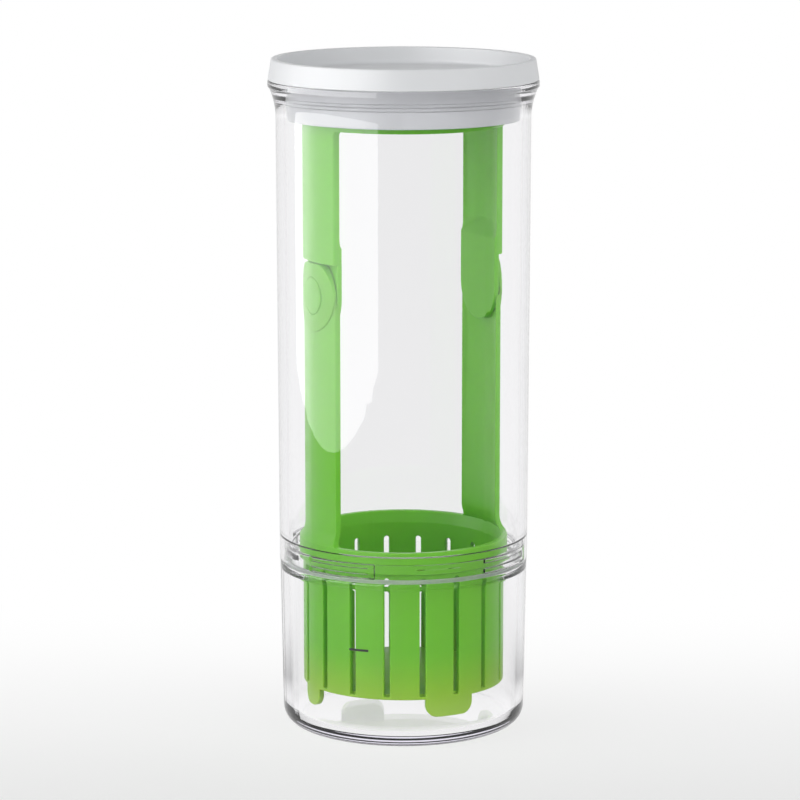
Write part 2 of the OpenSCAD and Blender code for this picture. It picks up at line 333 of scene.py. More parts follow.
@dataclass
class Sheet:
    """A plate with rounded edges, cut from flat outlines and then bent into place."""

    loops: list[Outline]
    depth: float
    edge: float
    cuts_x: list[float] = field(default_factory=list)
    cuts_y: list[float] = field(default_factory=list)
    keep_x: Span | None = None

    def _plate(self) -> Mesh:
        """Fills the flat outlines and thickens them, with rounded edges.

        Returns:
            The flat plate, in millimetres, with its thickness along Z.
        """
        curve = bpy.data.curves.new("outline", "CURVE")
        curve.dimensions = "2D"
        curve.fill_mode = "BOTH"
        curve.extrude = self.depth / 2 - self.edge
        curve.bevel_depth = self.edge
        curve.bevel_resolution = 2
        curve.offset = -self.edge
        for loop in self.loops:
            spline = curve.splines.new("POLY")
            spline.points.add(len(loop) - 1)
            for point, (x, y) in zip(spline.points, loop):
                point.co = (x, y, 0, 1)
            spline.use_cyclic_u = True
        holder = put("outline", curve)
        graph = bpy.context.evaluated_depsgraph_get()
        mesh = bpy.data.meshes.new_from_object(holder.evaluated_get(graph))
        bm = bmesh.new()
        bm.from_mesh(mesh)
        bpy.data.objects.remove(holder)
        bpy.data.curves.remove(curve)
        bpy.data.meshes.remove(mesh)
        bmesh.ops.remove_doubles(bm, verts=bm.verts, dist=SAME)
        return bm

    @staticmethod
    def _slice(bm: Mesh, axis: int, at: float, clear: int = 0) -> None:
        """Cuts the plate along a line.

        Args:
            bm: The plate.
            axis: 0 to cut across X, 1 to cut across Y.
            at: Where to cut, in millimetres.
            clear: -1 or 1 to drop what lies below or above the cut, 0 to keep both.
        """
        normal = Vector((1, 0, 0)) if axis == 0 else Vector((0, 1, 0))
        bmesh.ops.bisect_plane(
            bm,
            geom=bm.verts[:] + bm.edges[:] + bm.faces[:],
            dist=SAME,
            plane_co=normal * at,
            plane_no=normal,
            clear_outer=clear > 0,
            clear_inner=clear < 0,
        )

    def mesh(self, wrap: Wrap) -> Mesh:
        """Builds the plate and bends it.

        Args:
            wrap: Gives the place of a point from its X, its Y and its share of the depth.

        Returns:
            The bent plate, in millimetres.
        """
        bm = self._plate()
        for axis, cuts in enumerate((self.cuts_x, self.cuts_y)):
            for at in cuts:
                self._slice(bm, axis, at)
        if self.keep_x is not None:
            for at, clear in zip(self.keep_x, (-1, 1)):
                self._slice(bm, 0, at, clear)
        for vert in bm.verts:
            x, y, z = vert.co
            vert.co = wrap(x, y, z / self.depth + 0.5)
        return bm


def merged(parts: Sequence[Mesh], weld: float = 0.0) -> Mesh:
    """Joins several meshes into one.

    Args:
        parts: The meshes, which are freed.
        weld: Distance under which points are welded, in millimetres.

    Returns:
        The joined mesh.
    """
    whole = bmesh.new()
    for part in parts:
        scratch = bpy.data.meshes.new("scratch")
        part.to_mesh(scratch)
        part.free()
        whole.from_mesh(scratch)
        bpy.data.meshes.remove(scratch)
    if weld > 0:
        bmesh.ops.remove_doubles(whole, verts=whole.verts, dist=weld)
    return whole


def half_turned(bm: Mesh) -> Mesh:
    """Copies a mesh and turns the copy by half a turn about the upright axis.

    Args:
        bm: The mesh, which stays as it is.

    Returns:
        The copy.
    """
    copy = bm.copy()
    bmesh.ops.scale(copy, vec=(-1, -1, 1), verts=copy.verts)
    return copy


# ---------------------------------------------------------------- finishes


@dataclass(frozen=True)
class Pattern:
    """A noise pattern on a piece.

    It has a number of repeats per metre, a number of finer layers, and the share of the
    repeats that counts upwards, which draws the pattern out.
    """

    scale: float
    detail: float = 2.0
    upright: float = 1.0


class Ray(Enum):
    """Kinds of ray that the studio answers each in its own way."""

    SEEN = "Is Camera Ray"
    THROUGH = "Is Transmission Ray"
    MIRRORED = "Glossy Depth"


class Graph:
    """A short way to write the nodes of a material or of the world."""

    def __init__(self, tree: bpy.types.NodeTree) -> None:
        """Starts from an empty tree.

        Args:
            tree: The nodes of a material or of the world.
        """
        self.tree = tree
        tree.nodes.clear()

    def node(
        self, kind: str, inputs: dict[str | int, object] | None = None, **settings: object
    ) -> bpy.types.Node:
        """Adds a node.

        Args:
            kind: Blender's name for the node type.
            inputs: The output that each input is joined to, or the value it is set to.
            **settings: Attributes to set on the node.

        Returns:
            The node.
        """
        made = self.tree.nodes.new(kind)
        for key, value in settings.items():
            setattr(made, key, value)
        for key, value in (inputs or {}).items():
            if isinstance(value, Socket):
                self.tree.links.new(value, made.inputs[key])
            else:
                made.inputs[key].default_value = value
        return made

    def maths(self, operation: str, first: Socket, second: Socket | float) -> Socket:
        """One step of arithmetic."""
        return self.node("ShaderNodeMath", {0: first, 1: second}, operation=operation).outputs[0]

    def place(self) -> Socket:
        """A point's place on the piece, in metres."""
        return self.node("ShaderNodeTexCoord").outputs["Object"]

    def noise(self, pattern: Pattern) -> Socket:
        """Draws a noise pattern.

        Args:
            pattern: The pattern.

        Returns:
            The noise, 0 to 1.
        """
        place = self.place()
        if pattern.upright < 1:
            stretch = {"Vector": place, "Scale": (1, 1, pattern.upright)}
            place = self.node("ShaderNodeMapping", stretch).outputs["Vector"]
        texture = {"Vector": place, "Scale": pattern.scale, "Detail": pattern.detail}
        return self.node("ShaderNodeTexNoise", texture).outputs["Fac"]

    def ranged(
        self, value: Socket, wanted: Span, given: Span = NOISE_SPAN, smooth: bool = False
    ) -> Socket:
        """Maps a value from one range to another, and holds it at the ends.

        Args:
            value: The value.
            wanted: Range of the result.
            given: Range of the value.
            smooth: Whether the result eases in and out.

        Returns:
            The result.
        """
        keys = ("From Min", "From Max", "To Min", "To Max")
        inputs = {"Value": value, **dict(zip(keys, (*given, *wanted)))}
        kind = "SMOOTHSTEP" if smooth else "LINEAR"
        return self.node("ShaderNodeMapRange", inputs, interpolation_type=kind).outputs["Result"]

    def tinted(self, value: Socket, low: Colour, high: Colour) -> Socket:
        """Mixes two colours by a noise value.

        Args:
            value: The noise.
            low: Colour at the low end.
            high: Colour at the high end.

        Returns:
            The colour.
        """
        ramp = self.node("ShaderNodeValToRGB", {"Fac": value})
        for element, at, colour in zip(ramp.color_ramp.elements, NOISE_SPAN, (low, high)):
            element.position = at
            element.color = (*colour, 1)
        return ramp.outputs["Color"]

    def bump(self, height: Socket, distance: float, below: Socket | None = None) -> Socket:
        """Turns a height into a normal.

        Args:
            height: The height, 0 to 1.
            distance: Depth of the relief, in metres.
            below: Normal of a coarser relief to lay this one on.

        Returns:
            The normal.
        """
        inputs = {"Height": height, "Strength": 1.0, "Distance": distance}
        if below is not None:
            inputs["Normal"] = below
        return self.node("ShaderNodeBump", inputs).outputs["Normal"]

    def mixed(self, share: Socket, first: Socket, second: Socket) -> Socket:
        """Mixes two shaders by the share of the second."""
        return self.node("ShaderNodeMixShader", {"Fac": share, 1: first, 2: second}).outputs[0]

    def light(
        self, kind: str, value: Socket, strength: Span, colour: Colour = (1.0, 1.0, 1.0)
    ) -> Socket:
        """Adds light whose strength runs between two levels.

        Args:
            kind: Blender's name for the node type, an emission or a background.
            value: Where between the levels it is, 0 to 1.
            strength: The two levels.
            colour: The light's colour.

        Returns:
            The shader.
        """
        level = self.ranged(value, strength, WHOLE)
        return self.node(kind, {"Color": (*colour, 1), "Strength": level}).outputs[0]

    def ray_share(self, *kinds: Ray) -> Socket:
        """Value that is 1 for some kinds of ray, before they reach a matt surface.

        Args:
            *kinds: The kinds, which are the mirrored one alone or some of the others.

        Returns:
            The value's output; it is 0 for rays that carry light to a matt surface.
        """
        path = self.node("ShaderNodeLightPath").outputs
        if Ray.MIRRORED in kinds:
            share = self.maths("GREATER_THAN", path[Ray.MIRRORED.value], 0.5)
        else:
            share = self.maths("LESS_THAN", path[Ray.MIRRORED.value], 0.5)
            chosen = path[kinds[0].value]
            for kind in kinds[1:]:
                chosen = self.maths("MAXIMUM", chosen, path[kind.value])
            share = self.maths("MULTIPLY", chosen, share)
        return self.maths("MULTIPLY", share, self.maths("LESS_THAN", path["Diffuse Depth"], 0.5))

    def backdrop_share(self, place: Socket, start: float, end: float) -> Socket:
        """Value that rises from 0 to 1 towards the side where the backdrop hangs.

        Args:
            place: A place or direction in the studio.
            start: How far along it is still 0.
            end: How far along it is 1.

        Returns:
            The value's output.
        """
        inputs = {0: place, 1: BACKDROP_SIDE}
        along = self.node("ShaderNodeVectorMath", inputs, operation="DOT_PRODUCT").outputs["Value"]
        return self.ranged(along, WHOLE, (start, end), smooth=True)


@dataclass(frozen=True)
class Finish:
    """What every finish has: a name, and a material that is made from its own nodes."""

    name: str

    def shaders(self, g: Graph) -> Shaders:
        """Shader for each of the material's ends; each kind of finish has its own."""
        raise NotImplementedError

    def build(self) -> bpy.types.Material:
        """Makes the material.

        Returns:
            The material.
        """
        material = bpy.data.materials.new(self.name)
        material.use_nodes = True
        g = Graph(material.node_tree)
        g.node("ShaderNodeOutputMaterial", self.shaders(g))
        return material


@dataclass(frozen=True)
class ClearPlastic(Finish):
    """Polished clear plastic: faintly uneven from moulding, and open to lamplight."""

    tint: Colour = (1.0, 1.0, 1.0)
    shade: Colour = (0.99, 0.99, 0.993)
    deep: Colour = (0.68, 0.62, 0.84)
    density: float = 6.0
    ior: float = 1.44
    gloss: Span = (0.0, 0.03)
    polish: Pattern = Pattern(60, 3)
    wave: float = 0.000018
    flow: Pattern = Pattern(30, 1, 0.15)

    def shaders(self, g: Graph) -> Shaders:
        """Draws the clear wall, which lets shadow rays pass and tints thick parts.

        Args:
            g: The material's nodes.

        Returns:
            The surface and the volume.
        """
        wall = g.node("ShaderNodeBsdfPrincipled", {
            "Base Color": (*self.tint, 1),
            "Transmission Weight": 1.0,
            "IOR": self.ior,
            "Roughness": g.ranged(g.noise(self.polish), self.gloss),
            "Normal": g.bump(g.noise(self.flow), self.wave),
        })
        shade = g.node("ShaderNodeBsdfTransparent", {"Color": (*self.shade, 1)})
        shadow = g.node("ShaderNodeLightPath").outputs["Is Shadow Ray"]
        inside = {"Color": (*self.deep, 1), "Density": self.density}
        depth = g.node("ShaderNodeVolumeAbsorption", inside)
        surface = g.mixed(shadow, wall.outputs["BSDF"], shade.outputs["BSDF"])
        return {"Surface": surface, "Volume": depth.outputs["Volume"]}


@dataclass(frozen=True)
class Satin(Finish):
    """A solid finish, a little uneven in colour and gloss, with a fine grain.

    The depths of the grain and of the light that comes through are in metres.
    """

    low: Colour
    high: Colour
    gloss: Span
    clear: float = 0.0
    ior: float = 1.5
    glow: float = 0.0
    glow_colour: Colour = (1.0, 1.0, 1.0)
    glow_depth: float = 0.002
    grain: float = 0.000004
    tones: Pattern = Pattern(900, 3)
    polish: Pattern = Pattern(1500)
    texture: Pattern = Pattern(2500)

    def colour(self, g: Graph) -> Socket:
        """Colour of the surface."""
        return g.tinted(g.noise(self.tones), self.low, self.high)

    def relief(self, g: Graph) -> Socket:
        """Normal of the surface."""
        return g.bump(g.noise(self.texture), self.grain)

    def shaders(self, g: Graph) -> Shaders:
        """Draws the solid material.

        Args:
            g: The material's nodes.

        Returns:
            The surface.
        """
        solid = g.node("ShaderNodeBsdfPrincipled", {
            "Base Color": self.colour(g),
            "Roughness": g.ranged(g.noise(self.polish), self.gloss),
            "Normal": self.relief(g),
            "Transmission Weight": self.clear,
            "IOR": self.ior,
            "Subsurface Weight": self.glow,
            "Subsurface Radius": self.glow_colour,
            "Subsurface Scale": self.glow_depth,
        })
        return {"Surface": solid.outputs["BSDF"]}


@dataclass(frozen=True)
class MouldedPlastic(Satin):
    """Satin moulded plastic, which may have a painted glow at its foot, over a faint flow relief.
    """

    ior: float = 1.49
    glow: float = 0.1
    glow_depth: float = 0.0035
    grain: float = 0.000006
    tones: Pattern = Pattern(14, 3, 0.35)
    polish: Pattern = Pattern(90, 4)
    texture: Pattern = Pattern(2600)
    flow: Pattern = Pattern(45, 2, 0.3)
    flow_depth: float = 0.000036
    # foot colour and the heights below it: a painted glow low down, standing in for light that
    # comes through the thin foot
    foot: Colour | None = None
    painted_foot_glow_span: Span = (0.012, 0.04)

    def relief(self, g: Graph) -> Socket:
        """Normal of the surface, with its grain on the flow relief."""
        coarse = g.bump(g.noise(self.flow), self.flow_depth)
        return g.bump(g.noise(self.texture), self.grain, coarse)

    def colour(self, g: Graph) -> Socket:
        """Paints a lighter, warmer colour low down: a painted glow for the light that comes
        through the thin wall there.

        Args:
            g: The material's nodes.

        Returns:
            The colour.
        """
        above = super().colour(g)
        if self.foot is None:
            return above
        # painted glow: the foot colour fades into the plastic's own colour as the height rises
        height = g.node("ShaderNodeSeparateXYZ", {"Vector": g.place()}).outputs["Z"]
        share = g.ranged(height, WHOLE, self.painted_foot_glow_span, smooth=True)
        inputs = {"Factor": share, "A": (*self.foot, 1), "B": above}
        return g.node("ShaderNodeMix", inputs, data_type="RGBA").outputs["Result"]


@dataclass(frozen=True)
class Silicone(Satin):
    """Soft, milky silicone that lets some light through."""

    gloss: Span = (0.42, 0.58)
    ior: float = 1.41
    glow: float = 0.3
    grain: float = 0.00001
    tones: Pattern = Pattern(80, 3)
    polish: Pattern = Pattern(300, 3)
    texture: Pattern = Pattern(1800)


@dataclass(frozen=True)
class StudioFloor(Finish):
    """Pale table top: its real shadow shows near the keeper under painted light from white
    emission, stronger towards the backdrop, and it turns white further off.
    """

    low: Colour = (0.8228, 0.8228, 0.8148)
    high: Colour = (0.8550, 0.8550, 0.8469)
    tones: Pattern = Pattern(6, 4)
    # near and near_white: white emission that rises towards the backdrop, painted light spilling
    # from it
    near: Span = (-0.26, 0.19)
    near_white: Span = (0.36, 1.0)
    far: Span = (0.1, 0.3)
    # through: white emission that clear walls see, a painted brightening of the floor under the
    # cup
    through: float = 0.9
    # mirrored, mirrored_rise and under: glow that polished faces see, a painted reflection that is
    # bright under the foot and towards the backdrop
    mirrored: Span = (0.18, 0.9)
    mirrored_rise: Span = (-0.05, 0.15)
    under: Span = (0.07, 0.13)

    def shaders(self, g: Graph) -> Shaders:
        """Draws the floor as the eye, clear walls and polished faces each see it, each with
        painted light from white emission.

        Args:
            g: The material's nodes.

        Returns:
            The surface.
        """
        pale = g.tinted(g.noise(self.tones), self.low, self.high)
        cloth = g.node("ShaderNodeBsdfDiffuse", {"Color": pale}).outputs["BSDF"]
        white = g.node("ShaderNodeEmission", {"Strength": 1.0}).outputs["Emission"]
        place = g.node("ShaderNodeNewGeometry").outputs["Position"]
        level = {0: place, 1: (1, 1, 0)}
        flat = g.node("ShaderNodeVectorMath", level, operation="MULTIPLY").outputs["Vector"]
        away = g.node("ShaderNodeVectorMath", {0: flat}, operation="LENGTH").outputs["Value"]
        # painted light: white emission that rises towards the backdrop; far off the floor turns
        # plain white
        near = g.ranged(g.backdrop_share(place, *self.near), self.near_white, WHOLE)
        far = g.ranged(away, WHOLE, self.far, smooth=True)
        seen = g.maths("MULTIPLY", g.maths("MAXIMUM", near, far), g.ray_share(Ray.SEEN))
        # painted brightening of the floor as seen through clear walls
        through = g.maths("MULTIPLY", g.ray_share(Ray.THROUGH), self.through)
        cloth_and_painted_light = g.mixed(g.maths("MAXIMUM", seen, through), cloth, white)
        # painted reflection: a glow under the foot and towards the backdrop
        under = g.ranged(away, (1.0, 0.0), self.under, smooth=True)
        painted_reflection_level = g.maths("MAXIMUM", under, g.backdrop_share(place, *self.mirrored_rise))
        mirrored = g.light("ShaderNodeEmission", painted_reflection_level, self.mirrored)
        return {"Surface": g.mixed(g.ray_share(Ray.MIRRORED), cloth_and_painted_light, mirrored)}


@dataclass(frozen=True)
class Finishes:
    """Every finish of the keeper."""

    clear: ClearPlastic = ClearPlastic("clear_plastic")
    lid: MouldedPlastic = MouldedPlastic(
        "white_plastic", (0.68, 0.69, 0.70), (0.71, 0.715, 0.725), (0.38, 0.5)
    )
    # plug: the cap's white plastic made lighter, painted light for the light that the clear flange
    # carries into the shadow under the cap
    plug: MouldedPlastic = MouldedPlastic(
        "white_plug_plastic_painted_lighter", (0.81, 0.82, 0.84), (0.85, 0.86, 0.88), (0.4, 0.52)
    )
    hoop: MouldedPlastic = MouldedPlastic(
        "green_plastic", (0.165, 0.605, 0.024), (0.205, 0.660, 0.034), (0.3, 0.42),
        glow=0.35, glow_colour=(0.9, 1.0, 0.2),
    )
    # basket: its foot colour is a painted glow of the light that comes through the thin foot
    basket: MouldedPlastic = MouldedPlastic(
        "basket_green_plastic", (0.170, 0.595, 0.028), (0.215, 0.655, 0.040), (0.3, 0.42),
        glow=0.35, glow_colour=(0.9, 1.0, 0.2), foot=(0.38, 0.66, 0.045),
    )
    lid_ring: Silicone = Silicone(
        "lid_silicone", (0.78, 0.79, 0.81), (0.83, 0.84, 0.86), clear=0.15
    )
    neck_ring: Silicone = Silicone(
        "neck_silicone", (0.80, 0.81, 0.83), (0.86, 0.87, 0.89), clear=0.75
    )
    ink: Satin = Satin("black_ink", (0.012, 0.014, 0.013), (0.03, 0.034, 0.032), (0.35, 0.5))


FINISHES = Finishes()


def add_piece(bm: Mesh, name: str, finish: Finish) -> Piece:
    """Turns a mesh in millimetres into a piece, in metres, with its finish.

    Args:
        bm: The mesh, which is freed.
        name: The piece's name.
        finish: Its finish.

    Returns:
        The piece, smooth, with its large faces setting the shading.
    """
    bmesh.ops.recalc_face_normals(bm, faces=bm.faces)
    bmesh.ops.scale(bm, vec=(MM, MM, MM), verts=bm.verts)
    piece = mesh_object(bm, name)
    piece.data.shade_smooth()
    modifier = piece.modifiers.new("even_shading", "WEIGHTED_NORMAL")
    modifier.mode = "FACE_AREA"
    modifier.weight = EVEN_WEIGHT
    piece.data.materials.append(finish.build())
    return piece


# ---------------------------------------------------------------- the keeper


@dataclass
class LockSizes:
    """Sizes that the tube, the water cup and the neck's ring share, in millimetres."""

    shoulder_z: float = 67.5
    band_r: float = 48.4
    rib_r: float = 47.3
    neck_r: float = 47.0
    neck_in: float = 45.2
    lug_r: float = 48.1
    low_rib: Span = (69.2, 70.9)
    lug: Span = (71.2, 72.9)
    high_rib: Span = (73.2, 74.9)
    rib_start: float = -58.4
    rib_arc: float = 35.0
    stop_arc: float = 3.0
    lug_centre: float = -10.2
    lug_arc: float = 22.0
    soft: float = 0.09
    bare: float = 0.4

    def around(self, centre: float, arc: float) -> list[Span]:
        """Start and end of the four arcs that share a centre's place on each quarter."""
        return [(centre + 90 * k - arc / 2, centre + 90 * k + arc / 2) for k in range(4)]

    def ridge(self, start: float, end: float, wall: float, face: float) -> list[Row]:
        """Rows over a ridge that stands out from a wall on the rib columns.

        Args:
            start: Height of its first edge.
            end: Height of its second edge.
            wall: Radius of the wall.
            face: Radius of the ridge's face.

        Returns:
            The rows, from the first edge to the second.
        """
        step = math.copysign(self.soft, end - start)
        edge = face + math.copysign(self.soft, wall - face)
        profile = (
            (start - step, wall), (start + step, edge), (start + 3 * step, face),
            (end - 3 * step, face), (end - step, edge), (end + step, wall),
        )
        return [Row(z, wall, r, r) for z, r in profile]


@dataclass
class WaterCup:
    """The clear water cup with its neck, lugs, fill line and the ring round its neck."""

    lock: LockSizes
    neck_top: float = 74.5
    lip_round: float = 0.5
    neck_root: float = 1.5
    wall_r: float = 49.9
    foot_r: float = 48.8
    wall: float = 3.2
    floor_z: float = 4.6
    floor_round: float = 4.5
    foot_round: float = 7.0
    shoulder_round: float = 0.8
    shoulder_t: float = 3.5
    ring_gaps: Span = (0.05, 0.2)
    ring_top_gap: float = 0.3
    line_z: float = 40.2
    line_angle: float = -48.0
    line_length: float = 8.2
    line_height: float = 0.95
    line_round: float = 0.3
    line_pitch: float = 0.5
    ink_t: float = 0.05
    ink_edge: float = 0.01

    def _wall_at(self, z: float) -> float:
        """Outer radius of the wall at a height, in millimetres."""
        straight = self.lock.shoulder_z - self.shoulder_round - self.foot_round
        return self.foot_r + (self.wall_r - self.foot_r) * (z - self.foot_round) / straight

    def build(self) -> list[Piece]:
        """Builds the cup, its neck ring and its fill line."""
        return [self._body(), self._neck_ring(), self._fill_line()]

    def _body(self) -> Piece:
        """Turns the cup in one piece with its lugs.

        Returns:
            The cup.
        """
        k = self.lock
        outside = rounded(
            Corner(0, 0),
            Corner(self.foot_r, 0, self.foot_round),
            Corner(self.wall_r, k.shoulder_z, self.shoulder_round),
            Corner(k.neck_r, k.shoulder_z, 0.15),
            Corner(k.neck_r, k.lug[0] - k.bare),
            closed=False,
        )
        inside = rounded(
            Corner(k.neck_r, k.lug[1] + k.bare),
            Corner(k.neck_r, self.neck_top, self.lip_round),
            Corner(k.neck_in, self.neck_top, self.lip_round),
            Corner(k.neck_in, k.shoulder_z - self.neck_root, self.lip_round),
            Corner(self.wall_r - self.wall, k.shoulder_z - self.shoulder_t, 0.8),
            Corner(self.foot_r - self.wall, self.floor_z, self.floor_round),
            Corner(0, self.floor_z),
            closed=False,
        )
        turning = Turning(
            rows(outside) + k.ridge(*k.lug, k.neck_r, k.lug_r) + rows(inside),
            ribs=k.around(k.lug_centre, k.lug_arc),
            closed=False,
        )
        cup = add_piece(turning.mesh(), "cup_shell", FINISHES.clear)
        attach(cup, Place.CUP.value)
        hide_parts("water_cup")
        return cup

    def _neck_ring(self) -> Piece:
        """Turns the silicone ring that lies on the shoulder.

        Returns:
            The ring.
        """
        k = self.lock
        inner, outer = k.neck_r + self.ring_gaps[0], k.band_r - self.ring_gaps[1]
        top = k.low_rib[0] - self.ring_top_gap
        outline = rounded(
            Corner(inner, k.shoulder_z, 0.12),
            Corner(outer, k.shoulder_z, 0.12),
            Corner(outer, top, 0.4),
            Corner(inner, top, 0.3),
        )
        turned = Turning(rows(outline)).mesh()
        ring = add_piece(turned, "neck_ring_silicone", FINISHES.neck_ring)
        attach(ring, Place.NECK_RING.value)
        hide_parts("neck_seal")
        return ring

    def _fill_line(self) -> Piece:
        """Makes the thin printed line on the cup's wall.

        Returns:
            The line.
        """
        half, reach = self.line_height / 2, self.line_length / 2
        ends = ((-reach, -half), (reach, -half), (reach, half), (-reach, half))
        strips = int(self.line_length / self.line_pitch)
        plate = Sheet(
            [rounded(*(Corner(x, y, self.line_round) for x, y in ends))],
            depth=self.ink_t,
            edge=self.ink_edge,
            cuts_x=[-reach + i * self.line_pitch for i in range(1, strips + 1)],
        )

        def wrap(x: float, y: float, t: float) -> Spot:
            """Lays a point of the line on the cup's wall.

            Args:
                x: Its place along the line.
                y: Its height on the line.
                t: Its share of the thickness.

            Returns:
                Its place.
            """
            z = self.line_z + y
            r = self._wall_at(z) + self.ink_edge + self.ink_t * t
            a = math.radians(self.line_angle) + x / r
            return r * math.sin(a), -r * math.cos(a), z

        line = add_piece(plate.mesh(wrap), "fill_line", FINISHES.ink)
        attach(line, Place.CUP.value)
        return line


@dataclass
class ClearTube:
    """The clear tube, with its flared flange and the ribs of its twist lock."""

    lock: LockSizes
    top_z: float = 261.5
    band_outer: float = 50.1
    ledge_z: float = 77.9
    bore_low: float = 46.5
    bore_top: float = 47.2
    bore_bevel: float = 0.8
    outer_top: float = 50.8
    flange_r: float = 54.0
    flange_t: float = 3.0
    flange_edge: float = 0.5
    flare_h: float = 12.0
    flare_steps: int = 14

    def _flare(self) -> list[Corner]:
        """Sweeps from the wall to the flange.

        Returns:
            The points of the sweep, from the wall up.
        """
        low = self.top_z - self.flange_t - self.flare_h
        width = self.flange_r - self.flange_edge - self.outer_top
        shares = (i / self.flare_steps for i in range(self.flare_steps))
        return [Corner(self.outer_top + width * s**2, low + self.flare_h * s) for s in shares]

    def _outline(self) -> list[Corner]:
        """Goes from the band's foot, round the outside, down to the ledge.

        Returns:
            The corners.
        """
        k = self.lock
        foot, top = k.shoulder_z + SLIP, self.top_z - SLIP
        flange_z = self.top_z - self.flange_t
        return [
            Corner(k.band_r, k.low_rib[0] - k.bare),
            Corner(k.band_r, foot, 0.35),
            Corner(self.band_outer, foot, 0.6),
            *self._flare(),
            Corner(self.flange_r - 0.4, flange_z, 0.3),
            Corner(self.flange_r, flange_z + self.flange_edge, 0.5),
            Corner(self.flange_r, top, 0.7),
            Corner(self.bore_top + self.bore_bevel, top, 0.3),
            Corner(self.bore_top, self.top_z - self.bore_bevel, 0.5),
            Corner(self.bore_low, self.ledge_z, 0.35),
            Corner(k.band_r, self.ledge_z, 0.3),
            Corner(k.band_r, k.high_rib[1] + k.bare),
        ]

    def _rib_rows(self) -> list[Row]:
        """Runs down over both ribs, which the stop walls join.

        Returns:
            The rows, from the top down.
        """
        k = self.lock
        high, low = (k.ridge(*reversed(rib), k.band_r, k.rib_r) for rib in (k.high_rib, k.low_rib))
        between = [replace(row, stop=k.rib_r) for row in (high + low)[2:-2]]
        return high[:2] + between + low[-2:]

    def build(self) -> Piece:
        """Turns the tube in one piece with its ribs.

        Returns:
            The tube.
        """
        k = self.lock
        arcs = k.around(k.rib_start, k.rib_arc)
        turning = Turning(
            rows(rounded(*self._outline(), closed=False)) + self._rib_rows(),
            ribs=[(start, end - k.stop_arc) for start, end in arcs],
            stops=[(end - k.stop_arc, end) for _, end in arcs],
        )
        tube = add_piece(turning.mesh(), "tube_shell", FINISHES.clear)
        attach(tube, Place.TUBE.value)
        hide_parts("clear_tube")
        return tube


@dataclass
class Lid:
    """The press-in lid: its white cap, the plug in the tube's mouth and the plug's seal."""

    base_z: float = 261.5
    top_z: float = 270.0
    cap_r: float = 53.9
    cap_top_r: float = 52.5
    rim_w: float = 2.5
    rim_slope: float = 0.8
    floor_t: float = 1.8
    plug_r: float = 46.6
    plug_foot_r: float = 46.0
    plug_z: float = 246.2
    disc_z: float = 259.5
    skirt_in: float = 44.2
    groove: Span = (253.5, 256.9)
    groove_r: float = 45.3
    lip_r: float = 46.95
    lip_gap: float = 0.1
    waist: float = 0.75
    boss: Span = (35.6, 37.4)
    boss_z: float = 250.7
    boss_root_r: float = 39.7
    boss_root_z: float = 255.5

    def build(self) -> list[Piece]:
        """Builds the cap, the plug and the seal."""
        return [self._cap(), self._plug(), self._seal()]

    def _cap(self) -> Piece:
        """Turns the cap.

        Returns:
            The cap.
        """
        floor_z = self.base_z + self.floor_t
        rim_in = self.cap_top_r - self.rim_w
        outline = rounded(
            Corner(0, self.base_z + SLIP),
            Corner(self.cap_r, self.base_z + SLIP, 0.45),
            Corner(self.cap_top_r, self.top_z, 0.8),
            Corner(rim_in, self.top_z, 0.7),
            Corner(rim_in - self.rim_slope, floor_z, 1.5),
            Corner(0, floor_z),
            closed=False,
        )
        turned = Turning(rows(outline), closed=False).mesh()
        cap = add_piece(turned, "lid_cap_shell", FINISHES.lid)
        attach(cap, Place.LID.value)
        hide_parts("lid_cap")
        return cap

    def _plug_at(self, z: float) -> float:
        """Outer radius of the plug at a height, in millimetres."""
        share = (z - self.plug_z) / (self.base_z - self.plug_z)
        return self.plug_foot_r + (self.plug_r - self.plug_foot_r) * share

    def _plug(self) -> Piece:
        """Turns the plug with its skirt, its groove and its boss.

        Returns:
            The plug.
        """
        low, high = self.groove
        outline = rounded(
            Corner(0, self.disc_z),
            Corner(self.boss[0], self.disc_z, 0.6),
            Corner(self.boss[0], self.boss_z, 0.35),
            Corner(self.boss[1], self.boss_z, 0.5),
            Corner(self.boss[1], self.boss_root_z, 0.2),
            Corner(self.boss_root_r, self.boss_root_z, 0.3),
            Corner(self.boss_root_r, self.disc_z, 0.6),
            Corner(self.skirt_in, self.disc_z, 0.6),
            Corner(self.skirt_in, self.plug_z, 0.4),
            Corner(self.plug_foot_r, self.plug_z, 0.7),
            Corner(self._plug_at(low), low, 0.15),
            Corner(self.groove_r, low, 0.15),
            Corner(self.groove_r, high, 0.15),
            Corner(self._plug_at(high), high, 0.15),
            Corner(self.plug_r, self.base_z - SLIP, 0.2),
            Corner(0, self.base_z - SLIP),
            closed=False,
        )
        turned = Turning(rows(outline), closed=False).mesh()
        plug = add_piece(turned, "lid_plug_shell", FINISHES.plug)
        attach(plug, Place.LID.value)
        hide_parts("lid_plug")
        return plug

    def _seal(self) -> Piece:
        """Turns the seal with its two lips.

        Returns:
            The seal.
        """
        low, high = self.groove[0] + SLIP, self.groove[1] - SLIP
        middle = self.groove[0] + (self.groove[1] - self.groove[0]) / 2
        inner = self.groove_r + SLIP
        outline = rounded(
            Corner(inner, low, 0.1),
            Corner(self.lip_r, low, 0.7),
            Corner(self.lip_r, middle - self.lip_gap, 0.7),
            Corner(self.lip_r - self.waist, middle, 0.25),
            Corner(self.lip_r, middle + self.lip_gap, 0.7),
            Corner(self.lip_r, high, 0.7),
            Corner(inner, high, 0.1),
        )
        turned = Turning(rows(outline)).mesh()
        seal = add_piece(turned, "lid_seal_silicone", FINISHES.lid_ring)
        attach(seal, Place.LID.value)
        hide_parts("lid_seal")
        return seal


